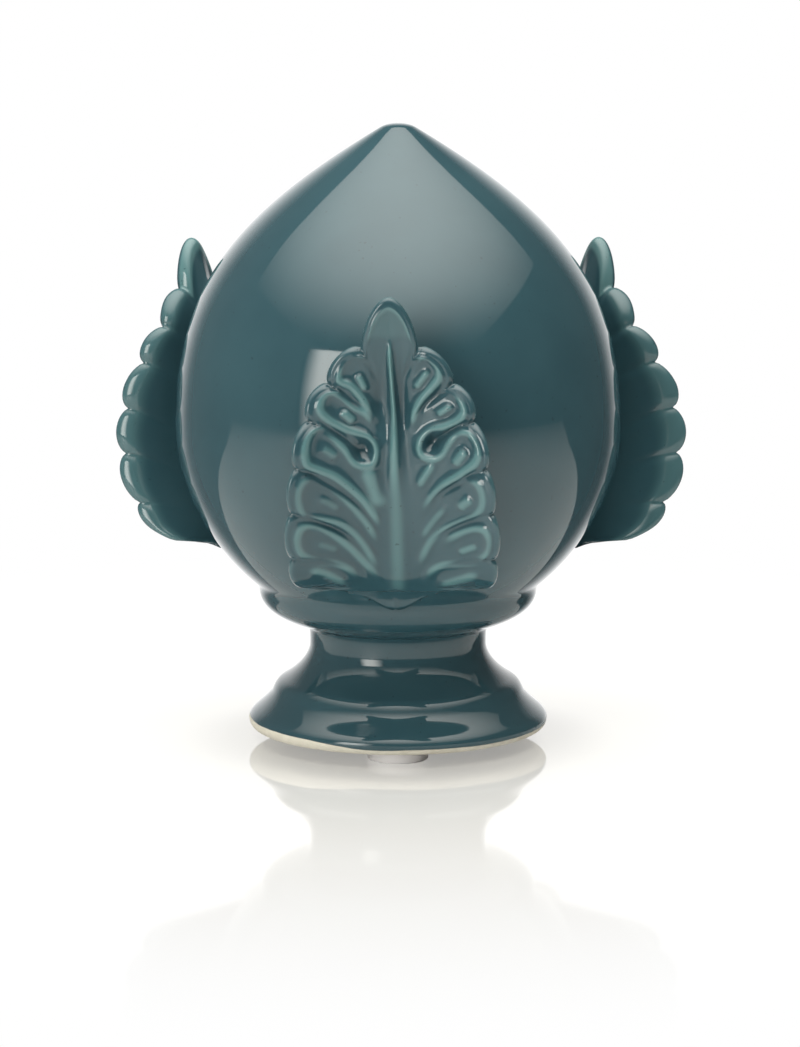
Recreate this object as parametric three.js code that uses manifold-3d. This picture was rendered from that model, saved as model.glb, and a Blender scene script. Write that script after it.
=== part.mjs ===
// A glazed ceramic bud finial: a pointed bud in a shallow collar, on a waisted foot,
// with three acanthus leaves pressed onto it whose sides and tips stand off the bud.
// The clay is one fired piece. It stands on three round pads stuck under the foot.
// Millimetres, +Z up. The origin is under the middle of the whole, at the level of the
// pads' undersides. The front is towards -Y, where the leaf reaches furthest out.

import * as THREE from 'three';
import { mergeVertices } from 'three/addons/utils/BufferGeometryUtils.js';
import Module from 'manifold-3d';

// How far behind the origin the bud's axis stands
const AXIS_BACK = 5.4;

// The three pads under the foot
const PAD_RADIUS = 7.7;
const PAD_THICKNESS = 3.5;
const PAD_CIRCLE_RADIUS = 24;
const PAD_EDGE_ROUND = 0.4;

// The foot, from its underside up
const WELL_RADIUS = 13;
const WELL_DEPTH = 2;
const FOOT_UNDERSIDE_RADIUS = 36.4;
const FOOT_RADIUS = 38.8;
const RIM_HEIGHT = 2.3;
const FLANGE_HEIGHT = 7.2;
const STEP_RADIUS = 32.7;
const STEP_HEIGHT = 3.5;
const COVE_TOP_RADIUS = 22.9;
const COVE_BOTTOM_RADIUS = 30;
const COVE_HEIGHT = 9.2;
const NECK_TOP_RADIUS = 24.6;
const NECK_HEIGHT = 5.2;

// The collar that the bud sits in
const COLLAR_RADIUS = 35.9;
const COLLAR_HEIGHT = 8.3;
const LIP_HEIGHT = 1.7;
const CREASE_RADIUS = 35.5;

// The bud
const BUD_RADIUS = 57.4;
const BUD_LOWER_HEIGHT = 43.6;
const BUD_UPPER_HEIGHT = 77.2;
const POINT_RADIUS = 4.5;
const POINT_HEIGHT = 1;

// The leaves
const LEAF_HEIGHT = 82;
const LEAF_HALF_WIDTH = 26;
const LEAF_THICKNESS = 3.5;
const LEAF_SEAT = 1.5;
const EDGE_BEAD = 0.9;
const TIP_FLARE = 0.8;
const CURL_START = 0.5;
const TIP_CURL = 4.6;
const LEAF_ABOVE_CREASE = 4.9;
const LIP_UNDERCUT = 6.5;
const RELIEF_HEIGHT = 1.1;
const STEM_HEIGHT = 1.5;
// Each leaf's turn from +X and how far its tip leans round from there, how much lower it
// sits, how its height differs, and how far its sides are lifted off the bud.
const LEAVES = [
  { turn: -91.5, lean: -0.6, drop: 4.3, squeeze: 0.965, flare: 9 },
  { turn: 31, lean: 1.5, drop: 0.4, squeeze: 1.015, flare: 12.3 },
  { turn: 150, lean: 0, drop: 0.4, squeeze: 1.015, flare: 10.2 },
];

// A leaf's lobes on one side, from the top one down, as shares of the leaf's half width
// and height: the notch under the lobe, where the furrow from that notch leaves the
// stem, the point that the furrow bends towards, and how far the lobe bulges.
const TOP_NOTCH = { notch: [0.262, 0.839], root: 0.62, bend: [0.1, 0.74] };
const LOBES = [
  { notch: [0.55, 0.728], root: 0.5, bend: [0.12, 0.63], bulge: 0.13 },
  { notch: [0.738, 0.62], root: 0.38, bend: [0.15, 0.53], bulge: 0.13 },
  { notch: [0.861, 0.48], root: 0.2, bend: [0.15, 0.37], bulge: 0.105 },
  { notch: [0.912, 0.34], root: 0.14, bend: [0.22, 0.26], bulge: 0.085 },
  { notch: [0.923, 0.189], root: 0.105, bend: [0.34, 0.165], bulge: 0.09 },
  { notch: [0.86, 0.076], root: 0.08, bend: [0.42, 0.08], bulge: 0.085 },
];
const BOTTOM_MIDDLE = 0.041;

// Fineness of the facets
const AROUND = 64;
const CURVE_STEPS = 4;
const LOBE_COLUMNS = [-1, -0.62, 0, 0.62, 1];
const TIP_CELLS = 3;
const BOTTOM_CELLS = 2;
const FACE_ROWS = [0, 0.28, 0.5, 0.7, 0.86, 1];
const BACK_BEND = 0.6;
const RIM_TURNS = [35, -35];

const wasm = await Module();
wasm.setup();

const mix = (a, b, share) => a + (b - a) * share;
const mixPoint = (a, b, share) => [mix(a[0], b[0], share), mix(a[1], b[1], share)];
const smooth = (low, high, x) => THREE.MathUtils.smoothstep(x, low, high);
const bump = (x, middle, width) => Math.exp(-(((x - middle) / width) ** 2));

const clay = new THREE.MeshStandardMaterial({ color: 0x3a616c, roughness: 0.08, metalness: 0 });
const padding = new THREE.MeshStandardMaterial({ color: 0xd9d5da, roughness: 0.6, metalness: 0 });

// Heights of the joins in the turned profile
const footZ = PAD_THICKNESS;
const rimZ = footZ + RIM_HEIGHT;
const stepZ = rimZ + FLANGE_HEIGHT;
const coveZ = stepZ + STEP_HEIGHT;
const waistZ = coveZ + COVE_HEIGHT;
const collarZ = waistZ + NECK_HEIGHT;
const lipZ = collarZ + COLLAR_HEIGHT;
const creaseZ = lipZ + LIP_HEIGHT;
const bellyZ = creaseZ + BUD_LOWER_HEIGHT - LIP_HEIGHT;
const shoulderZ = bellyZ + BUD_UPPER_HEIGHT - POINT_HEIGHT;
const apexZ = shoulderZ + POINT_HEIGHT;

function curve(start, startPull, endPull, end) {
  const at = ([r, z]) => new THREE.Vector2(r, z);
  return new THREE.CubicBezierCurve(at(start), at(startPull), at(endPull), at(end));
}

function budCurves() {
  const rise = bellyZ - creaseZ;
  const spread = BUD_RADIUS - CREASE_RADIUS;
  const climb = shoulderZ - bellyZ;
  const reach = BUD_RADIUS - POINT_RADIUS;
  return {
    lower: curve(
      [CREASE_RADIUS, creaseZ],
      [CREASE_RADIUS + 0.48 * spread, creaseZ + 0.186 * rise],
      [BUD_RADIUS, creaseZ + 0.577 * rise],
      [BUD_RADIUS, bellyZ],
    ),
    upper: curve(
      [BUD_RADIUS, bellyZ],
      [BUD_RADIUS, bellyZ + 0.487 * climb],
      [POINT_RADIUS + 0.664 * reach, bellyZ + 0.723 * climb],
      [POINT_RADIUS, shoulderZ],
    ),
  };
}

function turnedProfile() {
  const waist = COVE_TOP_RADIUS;
  const bud = budCurves();
  const steps = [
    curve(
      [FOOT_UNDERSIDE_RADIUS, footZ],
      [mix(FOOT_UNDERSIDE_RADIUS, FOOT_RADIUS, 0.7), footZ],
      [FOOT_RADIUS, mix(footZ, rimZ, 0.5)],
      [FOOT_RADIUS, rimZ],
    ),
    curve(
      [FOOT_RADIUS, rimZ],
      [FOOT_RADIUS, mix(rimZ, stepZ, 0.34)],
      [mix(STEP_RADIUS, FOOT_RADIUS, 0.25), mix(rimZ, stepZ, 0.56)],
      [STEP_RADIUS, stepZ],
    ),
    curve(
      [STEP_RADIUS, stepZ],
      [mix(STEP_RADIUS, COVE_BOTTOM_RADIUS, 0.18), mix(stepZ, coveZ, 0.4)],
      [mix(STEP_RADIUS, COVE_BOTTOM_RADIUS, 0.4), mix(stepZ, coveZ, 0.75)],
      [COVE_BOTTOM_RADIUS, coveZ],
    ),
    curve(
      [COVE_BOTTOM_RADIUS, coveZ],
      [mix(waist, COVE_BOTTOM_RADIUS, 0.58), mix(coveZ, waistZ, 0.18)],
      [waist, mix(coveZ, waistZ, 0.58)],
      [waist, waistZ],
    ),
    curve(
      [waist, waistZ],
      [waist, mix(waistZ, collarZ, 0.48)],
      [waist, mix(waistZ, collarZ, 0.85)],
      [NECK_TOP_RADIUS, collarZ],
    ),
    curve(
      [NECK_TOP_RADIUS, collarZ],
      [mix(NECK_TOP_RADIUS, COLLAR_RADIUS, 0.38), mix(collarZ, lipZ, 0.18)],
      [mix(NECK_TOP_RADIUS, COLLAR_RADIUS, 0.95), mix(collarZ, lipZ, 0.42)],
      [COLLAR_RADIUS, lipZ],
    ),
    curve(
      [COLLAR_RADIUS, lipZ],
      [COLLAR_RADIUS + 0.1, mix(lipZ, creaseZ, 0.8)],
      [COLLAR_RADIUS, creaseZ],
      [CREASE_RADIUS, creaseZ],
    ),
    bud.lower,
    bud.upper,
    curve(
      [POINT_RADIUS, shoulderZ],
      [0.75 * POINT_RADIUS, mix(shoulderZ, apexZ, 0.67)],
      [0.4 * POINT_RADIUS, apexZ],
      [0, apexZ],
    ),
  ];
  const count = (part) => (part === bud.lower || part === bud.upper ? 2 * CURVE_STEPS : CURVE_STEPS - 2);
  const points = [
    new THREE.Vector2(0, footZ + WELL_DEPTH),
    new THREE.Vector2(WELL_RADIUS, footZ + WELL_DEPTH),
    new THREE.Vector2(WELL_RADIUS + WELL_DEPTH, footZ),
  ];
  steps.forEach((part, i) => points.push(...part.getPoints(count(part)).slice(i === 0 ? 0 : 1)));
  points.at(-1).x = 0;
  return points;
}

// The bud's radius at a height, read off its two curves
const budSamples = Object.values(budCurves()).flatMap((part) => part.getPoints(120));

function budRadius(z) {
  if (z <= budSamples[0].y) return budSamples[0].x;
  const above = budSamples.findIndex((p) => p.y >= z && p.y > budSamples[0].y);
  if (above < 0) return budSamples.at(-1).x;
  const [a, b] = [budSamples[above - 1], budSamples[above]];
  return b.y === a.y ? b.x : mix(a.x, b.x, (z - a.y) / (b.y - a.y));
}

// One closed body from a geometry, whatever attributes and doubled points it has
function solid(geometry) {
  geometry.deleteAttribute('normal');
  geometry.deleteAttribute('uv');
  const merged = mergeVertices(geometry, 1e-4);
  const index = merged.index.array;
  const kept = [];
  for (let i = 0; i < index.length; i += 3) {
    const [a, b, c] = [index[i], index[i + 1], index[i + 2]];
    if (a !== b && b !== c && c !== a) kept.push(a, b, c);
  }
  return new wasm.Manifold(
    new wasm.Mesh({
      numProp: 3,
      vertProperties: new Float32Array(merged.attributes.position.array),
      triVerts: new Uint32Array(kept),
    }),
  );
}

function geometryOf(body) {
  const mesh = body.getMesh();
  const geometry = new THREE.BufferGeometry();
  geometry.setAttribute('position', new THREE.BufferAttribute(mesh.vertProperties, 3));
  geometry.setIndex(new THREE.BufferAttribute(mesh.triVerts, 1));
  return geometry;
}

function turnedBody() {
  return solid(new THREE.LatheGeometry(turnedProfile(), AROUND).rotateX(Math.PI / 2));
}

// The columns of half a leaf, from its tip down to the middle of its bottom edge. Each
// runs from the stem, bending once, to the leaf's edge. across is -1 to 1 over a lobe.
function leafColumns() {
  const columns = [];
  const topEnd = TOP_NOTCH.notch;
  for (let i = 0; i < TIP_CELLS; i += 1) {
    const share = i / TIP_CELLS;
    const quarter = (share * Math.PI) / 2;
    columns.push({
      part: 'tip',
      across: share,
      root: mix(0.7, TOP_NOTCH.root, share),
      bend: mixPoint([0, 0.84], TOP_NOTCH.bend, share),
      end: [topEnd[0] * Math.sin(quarter), mix(topEnd[1], 1, Math.cos(quarter))],
    });
  }
  let above = TOP_NOTCH;
  LOBES.forEach((lobe, number) => {
    const chord = [lobe.notch[0] - above.notch[0], lobe.notch[1] - above.notch[1]];
    const aspect = LEAF_HEIGHT / LEAF_HALF_WIDTH;
    const length = Math.hypot(chord[0], chord[1] * aspect);
    const outward = [(-chord[1] * aspect) / length, chord[0] / length / aspect];
    LOBE_COLUMNS.forEach((across, i) => {
      if (i === LOBE_COLUMNS.length - 1 && number < LOBES.length - 1) return;
      const share = (across + 1) / 2;
      const bulge = lobe.bulge * (1 - across ** 2) ** 0.6;
      const onChord = mixPoint(above.notch, lobe.notch, share);
      columns.push({
        part: 'lobe',
        across,
        root: mix(above.root, lobe.root, share),
        bend: mixPoint(above.bend, lobe.bend, share),
        end: [onChord[0] + outward[0] * bulge, onChord[1] + outward[1] * bulge],
      });
    });
    above = lobe;
  });
  for (let i = 1; i <= BOTTOM_CELLS; i += 1) {
    const share = i / BOTTOM_CELLS;
    const corner = above.notch;
    columns.push({
      part: 'bottom',
      across: share,
      root: mix(above.root, BOTTOM_MIDDLE + 0.016, share),
      bend: mixPoint(above.bend, [0, BOTTOM_MIDDLE + 0.01], share),
      end: [corner[0] * (1 - share), mix(BOTTOM_MIDDLE, corner[1], (1 - share) ** 2)],
    });
  }
  return columns;
}

// The carving on a leaf's face: each lobe is edged by a ridge that turns round at its
// end, with a channel inside it, a furrow between lobes, and a stem up the middle.
function carving(column, along, t, up) {
  const turn = smooth(0.6, 1, along);
  const fade = smooth(0.05, 0.4, along);
  const stemWidth = mix(2.6, 0.9, smooth(0.1, 0.7, up));
  const stemFade = smooth(0.04, 0.15, up) * (1 - smooth(0.7, 0.86, up));
  const stem = STEM_HEIGHT * bump(t, 0, stemWidth) * stemFade;
  if (column.part === 'tip') {
    const border = RELIEF_HEIGHT * 0.6 * bump(along, 0.85, 0.14);
    return stem + border - RELIEF_HEIGHT * column.across ** 4 * fade;
  }
  if (column.part === 'bottom') return stem * (1 - 0.5 * column.across);
  const q = (Math.abs(column.across) ** 3 + turn ** 3) ** (1 / 3);
  const ridge = bump(q, 0.68, 0.2);
  const channel = 0.55 * bump(q, 0.3, 0.22);
  const furrow = 1.1 * smooth(0.8, 1, Math.abs(column.across)) * (1 - 0.5 * turn);
  return stem + RELIEF_HEIGHT * fade * (ridge - channel - furrow);
}

// How far the middle of the leaf's thickness stands from the axis. The stem follows the
// bud up to its belly, and from there the leaf's tip curls outward, clear of the bud.
function leafReach(t, up, z, flare) {
  const seat = budRadius(z) + LEAF_SEAT * smooth(0.03, 0.15, up);
  const curl = Math.max(0, (up - CURL_START) / (1 - CURL_START));
  const lifted = BUD_RADIUS - 0.5 + LEAF_SEAT + TIP_CURL * curl ** 2;
  const middle = up > CURL_START ? Math.max(seat, lifted) : seat;
  const lowFade = mix(0.8, 1, smooth(0.05, 0.12, up));
  const highFade = mix(1, 0.62, smooth(0.55, 0.8, up));
  const side = flare * lowFade * highFade * (t / (0.92 * LEAF_HALF_WIDTH)) ** 1.45;
  const tipWidth = TOP_NOTCH.notch[0] * LEAF_HALF_WIDTH;
  const cup = TIP_FLARE * smooth(0.76, 0.86, up) * Math.min(1, t / tipWidth) ** 1.2;
  return middle + side + cup;
}

function leafSolid({ turn, lean, drop, squeeze, flare }) {
  const columns = leafColumns();
  const half = LEAF_THICKNESS / 2;
  const bottom = creaseZ + LEAF_ABOVE_CREASE;
  const centre = 0.5;
  const middleZ = bottom - drop + LEAF_HEIGHT * centre;

  // share is the distance from the stem to the edge, rise the way through the thickness.
  // The back runs in to the bud behind the stem, where the leaf is rooted.
  const place = (column, share, inset, rise, carved) => {
    const { root, bend, end } = column;
    const toEdge = new THREE.Vector2(
      (end[0] - bend[0]) * LEAF_HALF_WIDTH,
      (end[1] - bend[1]) * LEAF_HEIGHT,
    ).normalize();
    const last = [end[0] * LEAF_HALF_WIDTH - toEdge.x * inset, end[1] * LEAF_HEIGHT - toEdge.y * inset];
    const a = (1 - share) ** 2;
    const b = 2 * share * (1 - share);
    const c = share ** 2;
    const t = Math.max(0, b * bend[0] * LEAF_HALF_WIDTH + c * last[0]);
    const height = a * root * LEAF_HEIGHT + b * bend[1] * LEAF_HEIGHT + c * last[1];
    const up = height / LEAF_HEIGHT;
    const z = middleZ + LEAF_HEIGHT * (up - centre) * squeeze;
    const relief = carved ? carving(column, share, t, up) * (1 - smooth(0.9, 1, share)) : 0;
    return [t, leafReach(t, up, z, flare) + rise + relief, z];
  };
  const back = half + EDGE_BEAD;
  const rootedBack = (column, share) => {
    const [t, reach, z] = place(column, share, half, -back, false);
    const standing = share ** (column.part === 'tip' ? 0.2 : 0.6);
    return [t, mix(budRadius(z) - LEAF_SEAT, reach, standing), z];
  };
  // The bottom edge is undercut down to the bud
  const bentBack = (column) => {
    if (column.part !== 'bottom') return rootedBack(column, BACK_BEND);
    const [t, , z] = place(column, 1, half, 0, false);
    const foot = z - LIP_UNDERCUT * mix(0.25, 1, column.across ** 1.3);
    return [t, budRadius(foot) - LEAF_SEAT, foot];
  };
  const rows = [
    ...FACE_ROWS.map((share) => (column) => place(column, share, half, half, true)),
    ...RIM_TURNS.map((degrees) => (column) => {
      const a = THREE.MathUtils.degToRad(degrees);
      const depth = degrees > 0 ? half : back;
      return place(column, 1, half * (1 - Math.cos(a)), depth * Math.sin(a), false);
    }),
    (column) => place(column, 1, half, -back, false),
    bentBack,
    (column) => rootedBack(column, 0),
  ];
  const grid = columns.map((column) => rows.map((row) => row(column)));

  const positions = [];
  const corner = ([t, reach, z], side) => {
    const leaned = turn + (lean * (z - middleZ)) / (centre * LEAF_HEIGHT);
    const angle = THREE.MathUtils.degToRad(leaned);
    positions.push(
      reach * Math.cos(angle) - side * t * Math.sin(angle),
      reach * Math.sin(angle) + side * t * Math.cos(angle),
      z,
    );
  };
  for (const side of [1, -1]) {
    for (let i = 0; i + 1 < grid.length; i += 1) {
      for (let j = 0; j + 1 < rows.length; j += 1) {
        const [a, b, c, d] = [grid[i][j], grid[i + 1][j], grid[i + 1][j + 1], grid[i][j + 1]];
        const faces = side > 0 ? [a, b, c, a, c, d] : [a, c, b, a, d, c];
        faces.forEach((point) => corner(point, side));
      }
    }
  }
  const geometry = new THREE.BufferGeometry();
  geometry.setAttribute('position', new THREE.Float32BufferAttribute(positions, 3));
  return solid(geometry);
}

function ceramicPiece() {
  const body = LEAVES.reduce((clayBody, leaf) => clayBody.add(leafSolid(leaf)), turnedBody());
  const mesh = new THREE.Mesh(geometryOf(body.translate([0, AXIS_BACK, 0])), clay);
  mesh.name = 'ceramic_finial';
  return mesh;
}

function footPad(name, degrees) {
  const r = PAD_RADIUS;
  const e = PAD_EDGE_ROUND;
  const outline = [
    [0, 0],
    [r - e, 0],
    [r, e],
    [r, PAD_THICKNESS],
    [0, PAD_THICKNESS],
  ].map(([x, y]) => new THREE.Vector2(x, y));
  const body = solid(new THREE.LatheGeometry(outline, 24).rotateX(Math.PI / 2));
  const mesh = new THREE.Mesh(geometryOf(body), padding);
  const angle = THREE.MathUtils.degToRad(degrees);
  const back = AXIS_BACK + PAD_CIRCLE_RADIUS * Math.sin(angle);
  mesh.position.set(PAD_CIRCLE_RADIUS * Math.cos(angle), back, 0);
  mesh.name = name;
  return mesh;
}

const finial = new THREE.Group();
finial.name = 'bud_finial';
finial.add(
  ceramicPiece(),
  footPad('foot_pad_front', -90),
  footPad('foot_pad_back_right', 30),
  footPad('foot_pad_back_left', 150),
);

export default finial;
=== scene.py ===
import math

import bpy
import numpy as np
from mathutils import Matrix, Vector


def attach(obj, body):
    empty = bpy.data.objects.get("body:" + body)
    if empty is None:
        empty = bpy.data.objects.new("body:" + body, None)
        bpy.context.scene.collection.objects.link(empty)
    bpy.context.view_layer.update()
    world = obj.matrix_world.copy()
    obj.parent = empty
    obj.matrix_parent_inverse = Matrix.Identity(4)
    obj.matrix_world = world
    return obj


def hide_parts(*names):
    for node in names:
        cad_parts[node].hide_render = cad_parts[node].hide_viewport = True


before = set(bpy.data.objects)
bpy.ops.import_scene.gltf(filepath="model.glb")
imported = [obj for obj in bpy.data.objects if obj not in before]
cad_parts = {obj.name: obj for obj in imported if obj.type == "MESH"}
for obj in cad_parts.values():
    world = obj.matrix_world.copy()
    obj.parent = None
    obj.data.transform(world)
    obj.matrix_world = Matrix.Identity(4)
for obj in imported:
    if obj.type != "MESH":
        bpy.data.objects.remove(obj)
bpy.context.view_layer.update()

# The casting
# Bud, collar, neck and foot are one hollow piece of earthenware, slip-cast in a plaster
# mould and sponged smooth. Radii and heights are in millimetres from the table, and the
# axis stands a little behind the origin, which is under the middle of the whole.

MM = 0.001
AXIS_BACK = 5.4
WELL = [(0, 5.5), (9, 5.5), (12.4, 5.4), (13.4, 4.6), (14.4, 3.7), (16, 3.5), (34.6, 3.5)]
FOOT_EDGE = [(36.0, 3.5), (38.0, 3.5), (38.8, 4.7), (38.8, 6.0)]
FOOT_SLOPE = [(38.8, 6.0), (38.8, 8.0), (35.2, 9.4), (32.7, 13.0)]
FOOT_STEP = [(32.7, 13.0), (32.2, 14.4), (31.6, 15.6), (30.0, 16.5)]
COVE = [(30.0, 16.5), (27.0, 18.2), (22.9, 21.9), (22.9, 25.7)]
NECK = [(22.9, 25.7), (22.9, 28.2), (22.8, 30.1), (24.6, 30.9)]
COLLAR = [(24.6, 30.9), (28.9, 32.4), (35.3, 34.4), (35.9, 39.2)]
COLLAR_LIP = [(35.9, 39.2), (36.0, 40.3), (36.1, 41.3), (37.6, 42.5)]
BUD_BELLY = [(35.5, 40.9), (46.0, 48.5), (57.4, 65.0), (57.4, 82.8)]
BUD_SHOULDER = [(57.4, 82.8), (57.4, 119.9), (39.63, 137.9), (4.5, 159.0)]
BUD_POINT = [(4.5, 159.0), (3.4, 159.67), (1.8, 160.0), (0, 160.0)]
AROUND = 160
BELLY_STEPS_IN_LIP = 3


def curve(points, count):
    """Evenly stepped points on a cubic curve through its first and last point."""
    a, b, c, d = (np.array(point, float) for point in points)
    t = np.linspace(0, 1, count + 1)[:, None]
    return (1 - t) ** 3 * a + 3 * (1 - t) ** 2 * t * b + 3 * (1 - t) * t**2 * c + t**3 * d


bud_line = np.vstack([curve(BUD_BELLY, 300), curve(BUD_SHOULDER, 300)[1:]])


def bud_radius(z):
    return np.interp(z, bud_line[:, 1], bud_line[:, 0])


def turned_line():
    parts = [
        np.array(WELL, float),
        curve(FOOT_EDGE, 7),
        curve(FOOT_SLOPE, 12)[1:],
        curve(FOOT_STEP, 6)[1:],
        curve(COVE, 14)[1:],
        curve(NECK, 10)[1:],
        curve(COLLAR, 16)[1:],
        curve(COLLAR_LIP, 6)[1:],
        curve(BUD_BELLY, 32)[BELLY_STEPS_IN_LIP:],
        curve(BUD_SHOULDER, 44)[1:],
        curve(BUD_POINT, 6)[1:],
    ]
    return np.vstack(parts)


def mesh_object(name, points, faces):
    mesh = bpy.data.meshes.new(name)
    mesh.from_pydata((np.asarray(points) * MM).tolist(), [], [list(face) for face in faces])
    mesh.validate()
    mesh.update()
    thing = bpy.data.objects.new(name, mesh)
    bpy.context.collection.objects.link(thing)
    return thing


def turned(name, line, around, centre):
    """A closed turned body whose outline starts and ends on its axis."""
    turn = np.linspace(0, 2 * np.pi, around, endpoint=False)
    rings = line[1:-1]
    points = [(centre[0], centre[1], line[0][1])]
    for radius, z in rings:
        points += [(centre[0] + radius * np.cos(a), centre[1] + radius * np.sin(a), z) for a in turn]
    points.append((centre[0], centre[1], line[-1][1]))
    top = len(points) - 1
    faces = []
    for i in range(around):
        j = (i + 1) % around
        faces.append((0, 1 + j, 1 + i))
        for ring in range(len(rings) - 1):
            low = 1 + ring * around
            high = low + around
            faces.append((low + i, low + j, high + j, high + i))
        last = 1 + (len(rings) - 1) * around
        faces.append((last + i, last + j, top))
    return mesh_object(name, points, faces)


casting = turned("glazed_finial", turned_line(), AROUND, (0, AXIS_BACK))


# The leaves
# Each leaf was pressed in a small mould and luted onto the wet casting along its stem,
# its sides lifted away from the bud. Every lobe is edged by a raised line that turns
# round at the lobe's end, with a short rib inside; below, the lines run into the stem.

LEAF_HEIGHT = 82.0
HALF_WIDTH = 26.0
THICKNESS = 3.5
EDGE_BEAD = 0.9
SEAT = 1.5
ROOT_DEPTH = 3.5
TIP_FLARE = 0.8
CURL_START = 0.5
TIP_CURL = 4.6
LEAF_FOOT = 45.8
LIP_UNDERCUT = 6.5
BOTTOM_MIDDLE = 0.041
WIDEST = 0.92
TIP_CROWN = 1.8
TIP_SQUARENESS = 0.58
LOBE_ROUNDNESS = 0.6
BACK_FULLNESS = 0.32
NOTCH_CROWDING = 0.35
RIM_TURN = 78
RIM_POINTS = 11
STEM_ASIDE = 0.9
STEM_END = 6.0
LINE_HEIGHT = 1.25
LINE_WIDTH = 1.45
LINE_TAPER = 7.0
# How far the glaze counts as lying on raised clay at the edge and in its notches, and how much painted
# light the back gets next to its rim, most behind the tip.
RIM_LIGHT = {"tip": 0.2, "lobe": 0.2, "bottom": 0.1}
NOTCH_LIGHT = {"tip": -0.2, "lobe": -0.2, "bottom": 0.1}
PAINTED_BACK_LIGHT = {"tip": 1.1, "lobe": 0.6, "bottom": 0}
TOP_NOTCH = ((0.262, 0.839), 0.62, (0.1, 0.74), 0)
LOBES = [
    ((0.55, 0.728), 0.5, (0.12, 0.63), 0.13),
    ((0.738, 0.62), 0.38, (0.15, 0.53), 0.13),
    ((0.861, 0.48), 0.16, (0.15, 0.36), 0.105),
    ((0.912, 0.34), 0.1, (0.22, 0.25), 0.085),
    ((0.923, 0.189), 0.08, (0.34, 0.16), 0.09),
    ((0.86, 0.076), 0.068, (0.42, 0.075), 0.085),
]
# Each leaf's turn from +X and how far its tip leans round from there, its drop, height,
# how far its sides were lifted, and its fineness.
LEAVES = [
    (-91.5, -0.6, 4.3, 0.965, 9.0, 21, 50),
    (31, 1.5, 0.4, 1.015, 12.3, 15, 36),
    (150, 0, 0.4, 1.015, 10.2, 15, 36),
]
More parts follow.
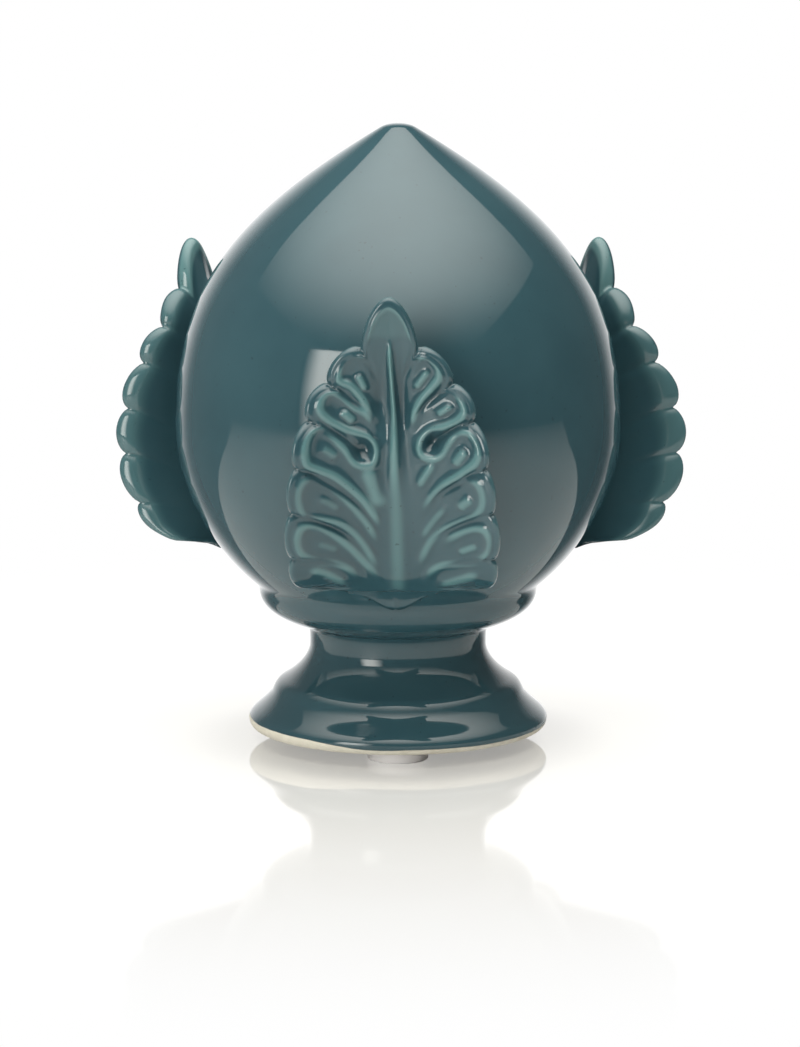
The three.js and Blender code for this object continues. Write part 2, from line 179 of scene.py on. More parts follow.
# The raised lines, each with its height and half width in millimetres before LINE_HEIGHT
# and LINE_WIDTH scale them. Their points are shares of the leaf's half width and height.
RAISED_LINES = [
    (1.0, 0.8, [(0.16, 0.755), (0.24, 0.81), (0.35, 0.822), (0.45, 0.79), (0.455, 0.755),
                (0.38, 0.72), (0.28, 0.68), (0.215, 0.635), (0.17, 0.565)]),
    (0.9, 0.65, [(0.21, 0.71), (0.29, 0.745), (0.38, 0.785)]),
    (1.0, 0.8, [(0.47, 0.7), (0.57, 0.715), (0.66, 0.69), (0.69, 0.655), (0.62, 0.625), (0.5, 0.605),
                (0.38, 0.592), (0.29, 0.565), (0.26, 0.535), (0.3, 0.51), (0.4, 0.505), (0.47, 0.52),
                (0.53, 0.555), (0.61, 0.588), (0.72, 0.592), (0.805, 0.565), (0.82, 0.53), (0.77, 0.497),
                (0.66, 0.465), (0.52, 0.43), (0.4, 0.385)]),
    (0.9, 0.65, [(0.41, 0.635), (0.5, 0.655), (0.59, 0.675)]),
    (0.9, 0.85, [(0.57, 0.48), (0.64, 0.515), (0.71, 0.545)]),
    (0.8, 0.8, [(0.22, 0.4), (0.32, 0.455), (0.42, 0.505)]),
    (0.7, 0.85, [(0.23, 0.31), (0.32, 0.36), (0.42, 0.405), (0.53, 0.435), (0.66, 0.445), (0.78, 0.44),
                 (0.84, 0.405), (0.835, 0.365), (0.76, 0.33), (0.62, 0.305), (0.46, 0.275), (0.35, 0.235),
                 (0.27, 0.18), (0.21, 0.12)]),
    (0.6, 0.8, [(0.24, 0.225), (0.33, 0.28), (0.44, 0.33), (0.55, 0.37)]),
    (0.75, 1.0, [(0.6, 0.345), (0.68, 0.37), (0.76, 0.392)]),
    (0.8, 0.9, [(0.43, 0.205), (0.52, 0.245), (0.64, 0.275), (0.77, 0.292), (0.87, 0.283), (0.915, 0.25),
                (0.89, 0.212), (0.78, 0.18), (0.62, 0.167), (0.47, 0.158), (0.36, 0.135), (0.3, 0.1),
                (0.28, 0.072)]),
    (0.75, 0.8, [(0.58, 0.2), (0.7, 0.22), (0.82, 0.24)]),
    (0.75, 1.1, [(0.36, 0.07), (0.48, 0.085), (0.62, 0.108), (0.76, 0.13), (0.87, 0.142)]),
    (1.0, 0.8, [(-0.14, 0.75), (-0.2, 0.8), (-0.3, 0.832), (-0.41, 0.822), (-0.475, 0.785), (-0.47, 0.745),
                (-0.37, 0.728), (-0.27, 0.69), (-0.19, 0.645), (-0.115, 0.595)]),
    (0.9, 0.65, [(-0.31, 0.77), (-0.265, 0.74), (-0.215, 0.705)]),
    (1.0, 0.8, [(-0.14, 0.575), (-0.22, 0.635), (-0.34, 0.665), (-0.46, 0.7), (-0.56, 0.712),
                (-0.635, 0.69), (-0.645, 0.655), (-0.58, 0.628), (-0.46, 0.603), (-0.32, 0.583),
                (-0.2, 0.565), (-0.145, 0.53), (-0.165, 0.487), (-0.25, 0.48), (-0.34, 0.49),
                (-0.43, 0.535), (-0.53, 0.573), (-0.64, 0.602), (-0.74, 0.59), (-0.79, 0.55),
                (-0.775, 0.495), (-0.66, 0.473), (-0.52, 0.45), (-0.38, 0.41), (-0.26, 0.368),
                (-0.17, 0.32), (-0.1, 0.26)]),
    (1.0, 0.8, [(-0.47, 0.655), (-0.4, 0.635), (-0.32, 0.61)]),
    (0.6, 1.0, [(-0.67, 0.545), (-0.58, 0.53), (-0.48, 0.5)]),
    (0.85, 1.7, [(-0.27, 0.5), (-0.2, 0.45), (-0.14, 0.39), (-0.1, 0.32)]),
    (0.7, 0.85, [(-0.12, 0.2), (-0.21, 0.275), (-0.32, 0.33), (-0.46, 0.385), (-0.61, 0.427), (-0.76, 0.45),
                 (-0.85, 0.42), (-0.86, 0.37), (-0.8, 0.327), (-0.65, 0.315), (-0.5, 0.3), (-0.38, 0.27),
                 (-0.28, 0.225), (-0.19, 0.165), (-0.13, 0.11)]),
    (0.5, 1.0, [(-0.72, 0.385), (-0.6, 0.37), (-0.46, 0.335)]),
    (0.8, 0.9, [(-0.12, 0.075), (-0.19, 0.125), (-0.28, 0.165), (-0.4, 0.215), (-0.56, 0.265),
                (-0.72, 0.298), (-0.84, 0.292), (-0.89, 0.25), (-0.85, 0.205), (-0.7, 0.175),
                (-0.54, 0.163), (-0.42, 0.14), (-0.34, 0.105), (-0.31, 0.075)]),
    (0.5, 1.0, [(-0.75, 0.238), (-0.62, 0.225), (-0.48, 0.2)]),
    (0.75, 1.0, [(-0.87, 0.142), (-0.72, 0.142), (-0.6, 0.122), (-0.5, 0.095), (-0.4, 0.072)]),
]
# Scooped hollows: place, half width and half height in millimetres, and depth.
HOLLOWS = [
    (0.4, 0.555, 2.2, 2.6, 1.7),
    (-0.27, 0.53, 2.4, 2.4, 1.7),
    (0.11, 0.69, 1.6, 9.0, 1.1),
    (-0.1, 0.7, 1.9, 7.0, 1.2),
    (0.13, 0.5, 2.0, 7.0, 0.7),
    (-0.08, 0.44, 1.8, 6.0, 0.7),
]


def smooth(low, high, x):
    t = np.clip((x - low) / (high - low), 0, 1)
    return t * t * (3 - 2 * t)


def bump(x, middle, width):
    return np.exp(-(((x - middle) / width) ** 2))


def mix(a, b, share):
    return a + (b - a) * share


def through(points, steps=6):
    """A smooth line through given points, in millimetres."""
    p = np.array(points) * (HALF_WIDTH, LEAF_HEIGHT)
    p = np.vstack([2 * p[0] - p[1], p, 2 * p[-1] - p[-2]])
    s = np.linspace(0, 1, steps, endpoint=False)[:, None]
    pieces = []
    for a, b, c, d in zip(p, p[1:], p[2:], p[3:]):
        square = a - 2.5 * b + 2 * c - d / 2
        cube = 1.5 * (b - c) + (d - a) / 2
        pieces.append(b + s * (c - a) / 2 + s**2 * square + s**3 * cube)
    return np.vstack(pieces + [p[-2]])


def raised_lines(t, up):
    """Height of the raised lines and hollows at places on the leaf's face."""
    place = np.column_stack([t.ravel(), up.ravel() * LEAF_HEIGHT])
    total = np.zeros(len(place))
    for height, width, points in RAISED_LINES:
        line = through(points)
        start, step = line[:-1], np.diff(line, axis=0)
        length = np.hypot(*step.T)
        run = np.concatenate([[0], np.cumsum(length)])
        reach = 3 * width
        low, high = line.min(0) - reach, line.max(0) + reach
        near = np.flatnonzero(((place > low) & (place < high)).all(1))
        offset = place[near, None] - start
        share = np.clip((offset * step).sum(2) / length**2, 0, 1)
        gap = np.linalg.norm(offset - share[..., None] * step, axis=2)
        closest = gap.argmin(1)
        rows = np.arange(len(near))
        gone = (run[closest] + share[rows, closest] * length[closest]) / run[-1]
        taper = min(0.3, LINE_TAPER / run[-1])
        ends = smooth(0, taper, gone) * smooth(0, taper, 1 - gone)
        ridge = bump(gap[rows, closest], 0, LINE_WIDTH * width)
        total[near] += (LINE_HEIGHT * height * ends * ridge) ** 3
    shape = np.cbrt(total)
    for t_place, up_place, half_width, half_height, depth in HOLLOWS:
        across = bump(place[:, 0], t_place * HALF_WIDTH, half_width)
        shape -= depth * across * bump(place[:, 1], up_place * LEAF_HEIGHT, half_height)
    return shape.reshape(t.shape)


def leaf_columns(per_lobe):
    """Lines from the stem to the edge, from the tip down to the middle of the bottom edge.

    Each is (kind, across, root height, bend, end, end of the plainer back); across runs
    from -1 to 1 over a lobe.
    """
    columns = []
    (top_t, top_up), top_root, top_bend, _ = TOP_NOTCH
    tip_cells = per_lobe + 3
    for i in range(tip_cells):
        share = i / tip_cells
        aside = math.sin(share * math.pi / 2)
        crown = (1 - aside**TIP_CROWN) ** TIP_SQUARENESS
        end = (top_t * aside, top_up + (1 - top_up) * crown)
        bend = (top_bend[0] * share, mix(0.86, top_bend[1], share))
        columns.append(("tip", share, mix(0.74, top_root, share), bend, end, end))
    above, root, bend, _ = TOP_NOTCH
    aspect = LEAF_HEIGHT / HALF_WIDTH
    for number, (notch, low_root, low_bend, bulge) in enumerate(LOBES):
        chord = (notch[0] - above[0], (notch[1] - above[1]) * aspect)
        length = math.hypot(*chord)
        outward = (-chord[1] / length, chord[0] / length / aspect)
        last = per_lobe if number == len(LOBES) - 1 else per_lobe - 1
        for i in range(last):
            even = i / (per_lobe - 1)
            across = mix(2 * even - 1, -math.cos(math.pi * even), NOTCH_CROWDING)
            share = (across + 1) / 2
            swell = (1 - across**2) ** LOBE_ROUNDNESS
            full = mix(BACK_FULLNESS, 1, swell)
            chord_point = (mix(above[0], notch[0], share), mix(above[1], notch[1], share))
            end = [chord_point[axis] + outward[axis] * bulge * swell for axis in (0, 1)]
            plain = [chord_point[axis] + outward[axis] * bulge * full for axis in (0, 1)]
            turn = (mix(bend[0], low_bend[0], share), mix(bend[1], low_bend[1], share))
            columns.append(("lobe", across, mix(root, low_root, share), turn, end, plain))
        above, root, bend = notch, low_root, low_bend
    bottom_cells = per_lobe // 2 + 2
    for i in range(1, bottom_cells + 1):
        share = i / bottom_cells
        end = (above[0] * (1 - share), mix(BOTTOM_MIDDLE, above[1], (1 - share) ** 2))
        turn = (bend[0] * (1 - share), mix(bend[1], BOTTOM_MIDDLE + 0.01, share))
        columns.append(("bottom", share, mix(root, BOTTOM_MIDDLE + 0.016, share), turn, end, end))
    return columns


def leaf_reach(t, up, z, flare):
    """How far the middle of the leaf's thickness stands from the bud's axis."""
    seat = bud_radius(z) + SEAT * smooth(0.03, 0.15, up)
    curl = np.maximum(0, (up - CURL_START) / (1 - CURL_START))
    lifted = BUD_BELLY[-1][0] - 0.5 + SEAT + TIP_CURL * curl**2
    middle = np.where(up > CURL_START, np.maximum(seat, lifted), seat)
    low_fade = mix(0.8, 1, smooth(0.05, 0.12, up))
    high_fade = mix(1, 0.62, smooth(0.55, 0.8, up))
    side = flare * low_fade * high_fade * (t / (WIDEST * HALF_WIDTH)) ** 1.8
    tip_side = np.minimum(1, t / (TOP_NOTCH[0][0] * HALF_WIDTH))
    cup = TIP_FLARE * smooth(0.76, 0.86, up) * tip_side**1.2
    return middle + side + cup


def notch_share(kind, across):
    """1 at the notches between lobes, 0 away from them."""
    if kind == "tip":
        return smooth(0.75, 1, across)
    if kind == "bottom":
        return 1 - smooth(0, 0.3, across)
    return smooth(0.7, 1, abs(across))


def leaf_line(column, share, inset, plainness=0):
    """Places along one column at the given shares of its way from the stem to the edge."""
    _, _, root, bend, end, plain = column
    to_edge = np.array([(end[0] - bend[0]) * HALF_WIDTH, (end[1] - bend[1]) * LEAF_HEIGHT])
    to_edge /= np.hypot(*to_edge)
    last = (
        mix(end[0], plain[0], plainness) * HALF_WIDTH - to_edge[0] * inset,
        mix(end[1], plain[1], plainness) * LEAF_HEIGHT - to_edge[1] * inset,
    )
    a, b, c = (1 - share) ** 2, 2 * share * (1 - share), share**2
    t = np.maximum(0, b * bend[0] * HALF_WIDTH + c * last[0])
    up = (a * root * LEAF_HEIGHT + b * bend[1] * LEAF_HEIGHT + c * last[1]) / LEAF_HEIGHT
    return t, up


def leaf_grid(columns, along, side, drop, squeeze, flare):
    """Rows of (t, reach, z, how far the glaze stands proud, with painted light on the back) for each
    column.

    They run over the face, round the rim, then over the back to its root.
    """
    half = THICKNESS / 2
    face = np.linspace(0, 1, along)
    rim = np.radians(np.linspace(RIM_TURN, -RIM_TURN, RIM_POINTS))
    back = np.linspace(1, 0, max(12, along // 3))
    face_lines = [leaf_line(column, face, half) for column in columns]
    face_t, face_up = (np.array(part) for part in zip(*face_lines))
    to_edge = np.hypot(face_t - face_t[:, -1:], (face_up - face_up[:, -1:]) * LEAF_HEIGHT)
    inside = smooth(0, 0.8, to_edge)
    stem_width = mix(2.6, 0.7, smooth(0.25, 0.7, face_up))
    stem_middle = STEM_ASIDE * (1 - smooth(0.6, 0.85, face_up))
    stem = mix(0.7, 1.5, smooth(0.35, 0.6, face_up)) * bump(face_t * side, stem_middle, stem_width)
    stem = stem * smooth(-0.02, 0.08, face_up) * (1 - smooth(0.8, 0.885, face_up))
    border = 0.45 * smooth(0.84, 0.89, face_up) * (1 - smooth(0.3, 2.2, to_edge))
    lines = raised_lines(face_t * side, face_up) * smooth(0.02, 0.2, face)
    carved = (stem + border + lines) * inside

    def settled(t, up, rise, raised_and_painted_light):
        z = LEAF_FOOT - drop + LEAF_HEIGHT * (0.5 + (up - 0.5) * squeeze)
        return np.column_stack([t, leaf_reach(t, up, z, flare) + rise, z, raised_and_painted_light + 0 * t])

    grid = []
    for column, t, up, carving, rim_gap in zip(columns, face_t, face_up, carved, to_edge):
        kind, across = column[:2]
        notch = notch_share(kind, across)
        valley = notch * (0.9 * smooth(0.5, 0.85, face) - 0.6 * smooth(0.9, 1, face))
        thin_tip = 0.5 * smooth(0.84, 0.89, up)
        edge_light = mix(RIM_LIGHT[kind], NOTCH_LIGHT[kind], notch)
        light = mix(edge_light, carving - valley + thin_tip, smooth(0.1, 1.1, rim_gap))
        strips = [settled(t, up, half + carving - valley, light)]
        bead = (EDGE_BEAD * (smooth(0.3, 1, across) if kind == "tip" else 1)) - 0.5 * notch
        for a in rim:
            inset = half * (1 - math.cos(a))
            edge_t, edge_up = leaf_line(column, np.array([1.0]), inset, 1 - smooth(-0.4, 0.7, a))
            depth = half - 0.4 * notch if a > 0 else half + bead
            # Round the rim the value goes over from the back's painted light to the glaze's edge value.
            edge = mix(PAINTED_BACK_LIGHT[kind], edge_light, smooth(-0.2, 0.6, a))
            strips.append(settled(edge_t, edge_up, depth * math.sin(a), edge))
        back_t, back_up = leaf_line(column, back, half, 1)
        rooted = -half - bead * smooth(0.72, 0.97, back) - ROOT_DEPTH * (1 - back) ** 1.5
        # Next to the rim the back carries painted light, paler behind the tip.
        behind = settled(back_t, back_up, rooted, PAINTED_BACK_LIGHT[kind] * smooth(0.86, 1, back))
        if kind == "tip":
            onto_bud = np.minimum(behind[:, 1], bud_radius(behind[:, 2]) - SEAT)
            behind[:, 1] = mix(behind[:, 1], onto_bud, smooth(0.45, 0.9, 1 - back) * (1 - across**2))
        if kind == "bottom":
            lip = settled(*leaf_line(column, np.array([1.0]), half), -half - bead, 0)[0]
            petiole = bump(lip[0], 0, STEM_END)
            foot_z = lip[2] - LIP_UNDERCUT * mix(0.22, 1, petiole)
            foot_reach = bud_radius(foot_z) + mix(-SEAT, 2.6, petiole)
            under = np.clip((1 - back) / 0.4, 0, 1)
            within = np.clip((0.6 - back) / 0.6, 0, 1)
            behind[:, 0] = lip[0] * (1 - within)
            behind[:, 2] = mix(mix(lip[2], foot_z, under), behind[-1, 2], within)
            behind[:, 1] = mix(mix(lip[1], foot_reach, under**0.8), behind[-1, 1], within)
        strips.append(behind)
        grid.append(np.vstack(strips))
    return np.array(grid)


def leaf_object(name, turn, lean, drop, squeeze, flare, per_lobe, along):
    columns = leaf_columns(per_lobe)
    halves = {side: leaf_grid(columns, along, side, drop, squeeze, flare) for side in (1, -1)}
    count, rows = halves[1].shape[:2]
    middle_z = LEAF_FOOT - drop + LEAF_HEIGHT / 2
    points = []
    raised_and_painted_light = []
    place = {}
    for side in (1, -1):
        for i in range(count):
            for j in range(rows):
                on_middle = i in (0, count - 1) or j in (0, rows - 1)
                if on_middle and side == -1:
                    place[side, i, j] = place[1, i, j]
                    continue
                t, reach, z, carved = halves[side][i, j]
                t = 0 if on_middle else t * side
                angle = math.radians(turn + lean * (z - middle_z) / (LEAF_HEIGHT / 2))
                x = reach * math.cos(angle) - t * math.sin(angle)
                y = reach * math.sin(angle) + t * math.cos(angle)
                place[side, i, j] = len(points)
                points.append((x, y + AXIS_BACK, z))
                raised_and_painted_light.append(carved)
    middle = {spot for (side, i, j), spot in place.items() if place[-side, i, j] == spot}
    faces = []
    for side in (1, -1):
        for i in range(count - 1):
            for j in range(rows - 1):
                a, b = place[side, i, j], place[side, i + 1, j]
                c, d = place[side, i + 1, j + 1], place[side, i, j + 1]
                faces += [(a, b, c), (a, c, d)] if side == 1 else [(a, c, b), (a, d, c)]
    leaf = mesh_object(name, points, [face for face in faces if not middle.issuperset(face)])
    leaf.data.attributes.new("raised_and_painted_light", "FLOAT", "POINT").data.foreach_set("value", raised_and_painted_light)
    return leaf


casting.data.attributes.new("raised_and_painted_light", "FLOAT", "POINT")
for number, leaf_settings in enumerate(LEAVES):
    leaf = leaf_object(f"pressed_leaf_{number}", *leaf_settings)
    union = casting.modifiers.new("luting", "BOOLEAN")
    union.operation = "UNION"
    union.solver = "MANIFOLD"
    union.object = leaf
    union_view = bpy.context.evaluated_depsgraph_get()
    joined = bpy.data.meshes.new_from_object(casting.evaluated_get(union_view))
    casting.modifiers.clear()
    casting.data = joined
    bpy.data.objects.remove(leaf)
print("casting with leaves:", len(casting.data.vertices), "points,", len(casting.data.polygons), "faces")
casting.data.shade_smooth()


# The glaze
# One coat of dark teal glaze covers everything but the underside of the foot, where
# it was wiped off before firing and cream clay shows. It runs thin and paler over
# ridges and edges, and lies thicker and darker in the hollows. The leaves' backs are
# painted paler next to their rims and behind the tips, as painted light.


class Wire:
    """A socket in a material's tree that can stand in a sum like a number."""

    def __init__(self, tree, socket=None):
        self.tree = tree
        self.socket = socket

    def node(self, kind, settings=None, sockets=None, out=0):
        made = self.tree.nodes.new(kind)
        for name, value in (settings or {}).items():
            setattr(made, name, value)
        for name, value in (sockets or {}).items():
            if isinstance(value, Wire):
                self.tree.links.new(value.socket, made.inputs[name])
            else:
                made.inputs[name].default_value = value
        return Wire(self.tree, made.outputs[out])

    def maths(self, operation, first, second):
        return self.node("ShaderNodeMath", {"operation": operation}, {0: first, 1: second})

    def __add__(self, other):
        return self.maths("ADD", self, other)

    def __radd__(self, other):
        return self.maths("ADD", other, self)

    def __sub__(self, other):
        return self.maths("SUBTRACT", self, other)

    def __rsub__(self, other):
        return self.maths("SUBTRACT", other, self)

    def __mul__(self, other):
        return self.maths("MULTIPLY", self, other)

    def __rmul__(self, other):
        return self.maths("MULTIPLY", other, self)

    def __truediv__(self, other):
        return self.maths("DIVIDE", self, other)

    def __pow__(self, other):
        return self.maths("POWER", self, other)

    def between(self, low, high):
        """0 below low, 1 above high, with a soft step between."""
        sockets = {"Value": self, "From Min": low, "From Max": high}
        return self.node("ShaderNodeMapRange", {"interpolation_type": "SMOOTHSTEP"}, sockets)

    def noise(self, where, scale, detail):
        sockets = {"Vector": where, "Scale": scale, "Detail": detail}
        return self.node("ShaderNodeTexNoise", {}, sockets)

    def blend(self, share, first, second):
        """Mixes two colours."""
        return self.node("ShaderNodeMix", {"data_type": "RGBA"}, {0: share, 6: first, 7: second}, 2)


def new_material(name):
    material = bpy.data.materials.new(name)
    material.use_nodes = True
    tree = material.node_tree
    tree.nodes.clear()
    surface = tree.nodes.new("ShaderNodeBsdfPrincipled")
    output = tree.nodes.new("ShaderNodeOutputMaterial")
    tree.links.new(surface.outputs[0], output.inputs[0])
    return material, Wire(tree), surface


CURVATURE_LIMIT = 2
SMOOTHING_ROUNDS = 4


def mean_curvature(mesh):
    """How sharply the surface bends at each point, per millimetre: above 0 on ridges."""
    mesh.calc_loop_triangles()
    points = np.empty(len(mesh.vertices) * 3)
    mesh.vertices.foreach_get("co", points)
    points = points.reshape(-1, 3) / MM
    corners = np.empty(len(mesh.loop_triangles) * 3, int)
    mesh.loop_triangles.foreach_get("vertices", corners)
    corners = corners.reshape(-1, 3)
    pull = np.zeros_like(points)
    area = np.zeros(len(points))
    normal = np.zeros_like(points)
    sides = [points[corners[:, k]] for k in range(3)]
    cross = np.cross(sides[1] - sides[0], sides[2] - sides[0])
    size = np.maximum(np.linalg.norm(cross, axis=1), 1e-6)
    for k in range(3):
        here, after, before = corners[:, k], corners[:, (k + 1) % 3], corners[:, (k + 2) % 3]
        a, b = points[after] - points[here], points[before] - points[here]
        cotangent = np.clip((a * b).sum(1) / size, -4, 4)[:, None] / 2
        np.add.at(pull, after, cotangent * (points[before] - points[after]))
        np.add.at(pull, before, cotangent * (points[after] - points[before]))
        np.add.at(area, here, size / 6)
        np.add.at(normal, here, cross)
    normal /= np.maximum(np.linalg.norm(normal, axis=1), 1e-9)[:, None]
    bend = -(pull * normal).sum(1) / np.maximum(area, 0.02) / 2
    bend = np.clip(bend, -CURVATURE_LIMIT, CURVATURE_LIMIT)
    ends = np.vstack([corners[:, [0, 1]], corners[:, [1, 2]], corners[:, [2, 0]]])
    for _ in range(SMOOTHING_ROUNDS):
        total = bend.copy() * 2
        count = np.full(len(bend), 2.0)
        np.add.at(total, ends[:, 0], bend[ends[:, 1]])
        np.add.at(count, ends[:, 0], 1)
        np.add.at(total, ends[:, 1], bend[ends[:, 0]])
        np.add.at(count, ends[:, 1], 1)
        bend = total / count
    return bend


bend = casting.data.attributes.new("bend", "FLOAT", "POINT")
bend.data.foreach_set("value", mean_curvature(casting.data).astype(np.float32))

GLAZE_COAT = ((0.023, 0.059, 0.073, 1), (0.028, 0.069, 0.084, 1))
GLAZE_POOLED = (0.016, 0.042, 0.054, 1)
# The pale colour of thin glaze on ridges and edges, also used as painted light on the leaves' backs.
GLAZE_THIN_AND_PAINTED_LIGHT = (0.1, 0.205, 0.21, 1)
GLAZE_SPECK = (0.015, 0.03, 0.036, 1)
BARE_CLAY = ((0.52, 0.49, 0.41, 1), (0.66, 0.63, 0.54, 1))
CLAY_STAIN = (0.4, 0.36, 0.28, 1)
WIPED_HEIGHT = 0.0043
WIPED_WAVER = 0.0016

glaze, wire, surface = new_material("teal_glaze")
where = wire.node("ShaderNodeTexCoord", out=3)
x = wire.node("ShaderNodeSeparateXYZ", {}, {0: where}, 0)
z = wire.node("ShaderNodeSeparateXYZ", {}, {0: where}, 2)
bending = wire.node("ShaderNodeAttribute", {"attribute_name": "bend"}, {}, 2)
raised_and_painted_light = wire.node("ShaderNodeAttribute", {"attribute_name": "raised_and_painted_light"}, {}, 2)
# Paler where the glaze runs thin, and where the leaves' backs carry painted light.
thin_glaze_and_painted_light = bending.between(0.16, 0.9) * 0.45 + raised_and_painted_light.between(0.1, 1.05) * 0.85
pooled = (bending * -1).between(0.05, 0.6) * 0.5 + (raised_and_painted_light * -1).between(0.1, 1.2) * 0.5
clouding = wire.noise(where, 38, 3).between(0.25, 0.75)
wiped_line = WIPED_HEIGHT + WIPED_WAVER * wire.noise(where, 34, 4)
wiped_line = wiped_line + WIPED_WAVER * (x * -1).between(0.002, 0.034)
bare = (wiped_line - z).between(-0.0001, 0.0001)

teal = wire.blend(clouding, *GLAZE_COAT)
teal = wire.blend(pooled * 0.75, teal, GLAZE_POOLED)
teal = wire.blend(thin_glaze_and_painted_light.between(0.0, 1.1) * 0.85, teal, GLAZE_THIN_AND_PAINTED_LIGHT)
speck = wire.noise(where, 900, 1).between(0.74, 0.78)
teal = wire.blend(speck * 0.5, teal, GLAZE_SPECK)
clay = wire.blend(wire.noise(where, 420, 4), *BARE_CLAY)
stain = wire.noise(where, 90, 3).between(0.58, 0.72)
clay = wire.blend(stain * 0.5, clay, CLAY_STAIN)
colour = wire.blend(bare, teal, clay)
wire.tree.links.new(colour.socket, surface.inputs["Base Color"])
roughness = 0.035 + 0.03 * wire.noise(where, 120, 2) + bare * 0.7
wire.tree.links.new(roughness.socket, surface.inputs["Roughness"])
surface.inputs["IOR"].default_value = 1.5
waves = wire.noise(where, 55, 2) * 0.00006 + wire.noise(where, 260, 2) * 0.000004
grain = bare * wire.noise(where, 1500, 4) * 0.0001 - bare * 0.00025
height = wire.node("ShaderNodeBump", {}, {"Height": waves + grain, "Distance": 1.0, "Strength": 0.6})
wire.tree.links.new(height.socket, surface.inputs["Normal"])

casting.data.materials.clear()
casting.data.materials.append(glaze)
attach(casting, "root")
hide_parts("ceramic_finial")


# The foot pads
# Three soft white plastic bumpers, punched from sheet and stuck under the foot, keep
# the hard clay off the table. Their lower edges are moulded round.

PAD_CENTRE = 24.0
PAD_OUTLINE = [
    (0, 0.0),
    (4, 0.0),
    (7.3, 0.0),
    (7.5, 0.04),
    (7.65, 0.15),
    (7.7, 0.35),
    (7.7, 3.05),
    (7.64, 3.12),
    (7.5, 3.16),
    (7.5, 3.44),
    (7.44, 3.5),
    (0, 3.5),
]
PADS = [("foot_pad_front", -90), ("foot_pad_back_right", 30), ("foot_pad_back_left", 150)]

plastic, wire, surface = new_material("white_pad_plastic")
where = wire.node("ShaderNodeTexCoord", out=3)
z = wire.node("ShaderNodeSeparateXYZ", {}, {0: where}, 2)
cloud = wire.noise(where, 160, 3)
white = wire.blend(cloud, (0.86, 0.84, 0.86, 1), (0.92, 0.9, 0.92, 1))
adhesive = z.between(0.0031, 0.00315)
white = wire.blend(adhesive * 0.7, white, (0.42, 0.4, 0.36, 1))
wire.tree.links.new(white.socket, surface.inputs["Base Color"])
dull = 0.42 + 0.12 * wire.noise(where, 600, 2) + adhesive * 0.2
wire.tree.links.new(dull.socket, surface.inputs["Roughness"])
skin = wire.node("ShaderNodeBump", {}, {"Height": wire.noise(where, 2200, 3) * 0.00004, "Distance": 1.0})
wire.tree.links.new(skin.socket, surface.inputs["Normal"])

for name, degrees in PADS:
    angle = math.radians(degrees)
    centre = (PAD_CENTRE * math.cos(angle), AXIS_BACK + PAD_CENTRE * math.sin(angle))
    pad = turned(name.replace("foot_pad", "bumper"), np.array(PAD_OUTLINE), 64, centre)
    pad.data.shade_smooth()
    pad.data.materials.append(plastic)
    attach(pad, "root")
    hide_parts(name)


# The studio
# A white table top ends just behind the object. A wide diffuser hangs over it, hot in
# the middle, a narrow soft box stands at the left front, and the backdrop is lit.


PANEL_HEIGHT = 0.9
PANEL_LIGHT = 5.0
HOT_SPOT = (0, -0.12, 0)
HOT_SPOT_RADIUS = 0.78
SOFT_BOX_LIGHT = 8.8
BACKDROP_LIGHT = 1.1
LEFT_ROOM_LIGHT = 0.14
ROOM_LIGHT = 0.11
LIGHT_COLOUR = (1, 0.985, 0.93)
PAPER_COLOUR = (1, 0.985, 0.95)
SHEET_RADIUS = 500
SHEET_HEIGHT = 0.05
SHEET_CORNERS = 96


def card(name, corners):
    return mesh_object(name, np.array(corners) / MM + (0, AXIS_BACK, 0), [(0, 1, 2, 3)])


def light_material(name, strength_of):
    material = bpy.data.materials.new(name)
    material.use_nodes = True
    tree = material.node_tree
    tree.nodes.clear()
    wire = Wire(tree)
    sockets = {0: LIGHT_COLOUR, 3: strength_of(wire)}
    colour = wire.node("ShaderNodeVectorMath", {"operation": "SCALE"}, sockets)
    glow = wire.node("ShaderNodeEmission", {}, {"Color": colour, "Strength": 1.0})
    output = tree.nodes.new("ShaderNodeOutputMaterial")
    tree.links.new(glow.socket, output.inputs[0])
    return material


def hot_middle(wire):
    where = wire.node("ShaderNodeTexCoord", out=3)
    flat = wire.node("ShaderNodeVectorMath", {"operation": "DISTANCE"}, {0: where, 1: HOT_SPOT}, 1)
    fall = -1 * (flat / HOT_SPOT_RADIUS) ** 2.0
    return PANEL_LIGHT * wire.node("ShaderNodeMath", {"operation": "EXPONENT"}, {0: fall})


def soft_sides(wire):
    where = wire.node("ShaderNodeTexCoord", out=3)
    x = wire.node("ShaderNodeSeparateXYZ", {}, {0: where}, 0)
    return SOFT_BOX_LIGHT * x.between(-0.95, -0.74) * (1 - x.between(-0.64, -0.33))


panel_corners = [(-1.2, -1.5, 0), (1.1, -1.5, 0), (1.0, 0.56, 0), (-1.2, 0.4, 0)]
panel = card("overhead_diffuser", panel_corners)
panel.location.z = PANEL_HEIGHT
panel.data.materials.append(light_material("diffuser_light", hot_middle))
panel.visible_camera = False

strip_corners = [(-0.95, -0.75, 0.06), (-0.32, -1.12, 0.06), (-0.32, -1.12, 0.64), (-0.95, -0.75, 0.64)]
strip = card("left_soft_box", strip_corners)
strip.data.materials.append(light_material("soft_box_light", soft_sides))
strip.visible_camera = False

table_white, wire, surface = new_material("white_table_top")
surface.inputs["Base Color"].default_value = (0.82, 0.82, 0.82, 1)
surface.inputs["Roughness"].default_value = 0.5
table = card("table_top", [(-1.6, -1.45, 0), (1.6, -1.45, 0), (1.6, 0.04, 0), (-1.6, 0.04, 0)])
table.data.materials.append(table_white)
table.visible_camera = False
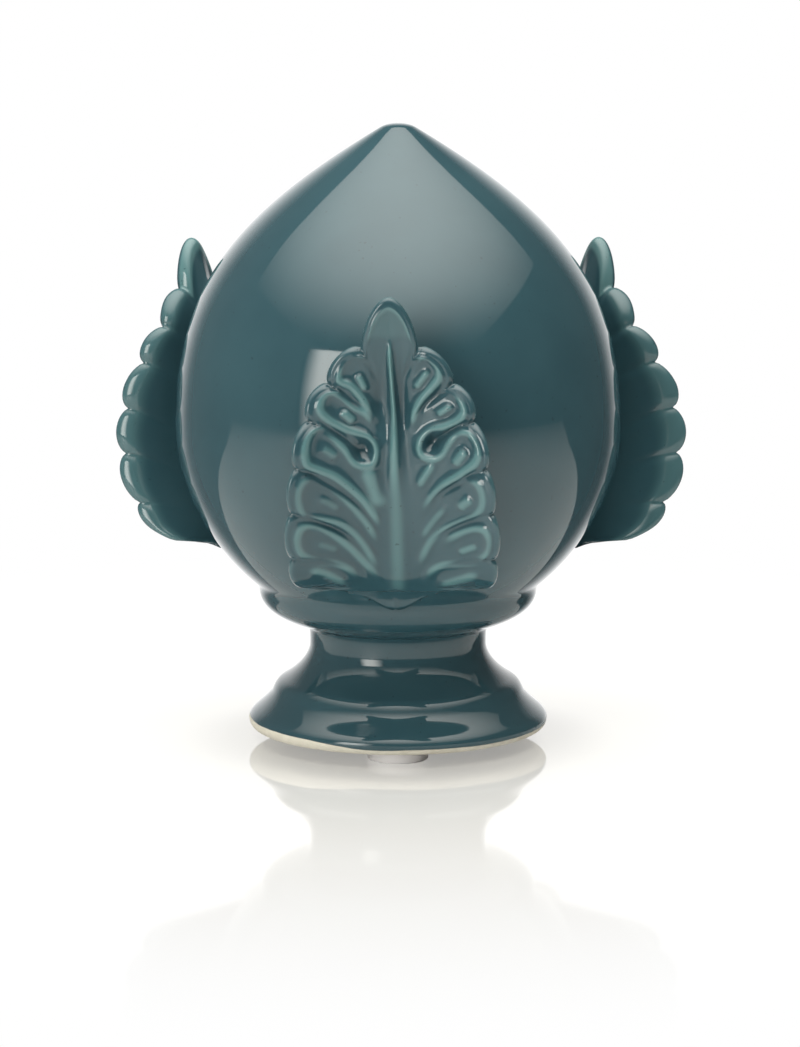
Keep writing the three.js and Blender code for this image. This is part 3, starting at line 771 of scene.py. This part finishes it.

# What the camera sees of the table: a pale gloss sheet that glows with painted light, dimmed close round
# the foot as a painted shadow, and goes over into white.
seen_white, wire, surface = new_material("seen_table_top")
surface.inputs["Base Color"].default_value = (0.27, 0.265, 0.25, 1)
surface.inputs["Roughness"].default_value = 0.05
surface.inputs["Emission Strength"].default_value = 1
where = wire.node("ShaderNodeTexCoord", out=3)
sockets = {0: where, 1: (0, AXIS_BACK * MM, 0)}
away = wire.node("ShaderNodeVectorMath", {"operation": "DISTANCE"}, sockets, 1)
# The sheet's glow is painted light, dimmer close round the foot as a painted shadow.
painted_light_and_foot_shadow = 0.33 + 0.11 * away.between(0.036, 0.06)
paper = wire.node("ShaderNodeVectorMath", {"operation": "SCALE"}, {0: PAPER_COLOUR, 3: painted_light_and_foot_shadow})
wire.tree.links.new(paper.socket, surface.inputs["Emission Color"])
plain = wire.node("ShaderNodeEmission", {}, {"Strength": 1.0})
faded = wire.node("ShaderNodeMixShader", {}, {0: away.between(0.045, 0.28), 2: plain})
wire.tree.links.new(surface.outputs[0], faded.socket.node.inputs[1])
output = next(node for node in wire.tree.nodes if node.type == "OUTPUT_MATERIAL")
wire.tree.links.new(faded.socket, output.inputs[0])
ring = np.linspace(0, 2 * np.pi, SHEET_CORNERS, endpoint=False)
disc = [(SHEET_RADIUS * np.cos(a), SHEET_RADIUS * np.sin(a), SHEET_HEIGHT) for a in ring]
sheet = mesh_object("seen_table", disc, [tuple(range(SHEET_CORNERS))])
sheet.data.materials.append(seen_white)
sheet.visible_diffuse = False
sheet.visible_glossy = False
sheet.visible_shadow = False

world = bpy.data.worlds.new("studio")
bpy.context.scene.world = world
world.use_nodes = True
tree = world.node_tree
tree.nodes.clear()
wire = Wire(tree)
direction = wire.node("ShaderNodeTexCoord", out=0)
sideways = wire.node("ShaderNodeSeparateXYZ", {}, {0: direction}, 0)
behind = wire.node("ShaderNodeSeparateXYZ", {}, {0: direction}, 1)
backdrop = behind.between(0.7, 0.97) * BACKDROP_LIGHT
left_room = (sideways * -1).between(-0.2, 0.9) * LEFT_ROOM_LIGHT
seen = wire.node("ShaderNodeLightPath", out=0)
strength = (backdrop + left_room + ROOM_LIGHT) * (1 - seen) + seen
sky = wire.node("ShaderNodeBackground", {}, {"Color": (1, 1, 1, 1), "Strength": strength})
output = tree.nodes.new("ShaderNodeOutputWorld")
tree.links.new(sky.socket, output.inputs[0])


# The camera
# It stands a metre away, a little above the object, and looks at the bud's waist.

FOCUS_HEIGHT = 0.05664
DISTANCE = 1.0
ELEVATION = math.radians(9.3)
FOCAL_LENGTH = 132.76
SENSOR_WIDTH = 36
SIDE_SHIFT = 0.0019
lens = bpy.data.cameras.new("photo_camera")
lens.lens = FOCAL_LENGTH
lens.sensor_width = SENSOR_WIDTH
lens.shift_x = SIDE_SHIFT
camera = bpy.data.objects.new("photo_camera", lens)
bpy.context.collection.objects.link(camera)
focus = Vector((0, AXIS_BACK * MM, FOCUS_HEIGHT))
camera.location = focus + Vector((0, -DISTANCE * math.cos(ELEVATION), DISTANCE * math.sin(ELEVATION)))
aim = focus - camera.location
camera.rotation_euler = aim.to_track_quat("-Z", "Y").to_euler()
bpy.context.scene.camera = camera
bpy.context.scene.view_settings.view_transform = "Standard"
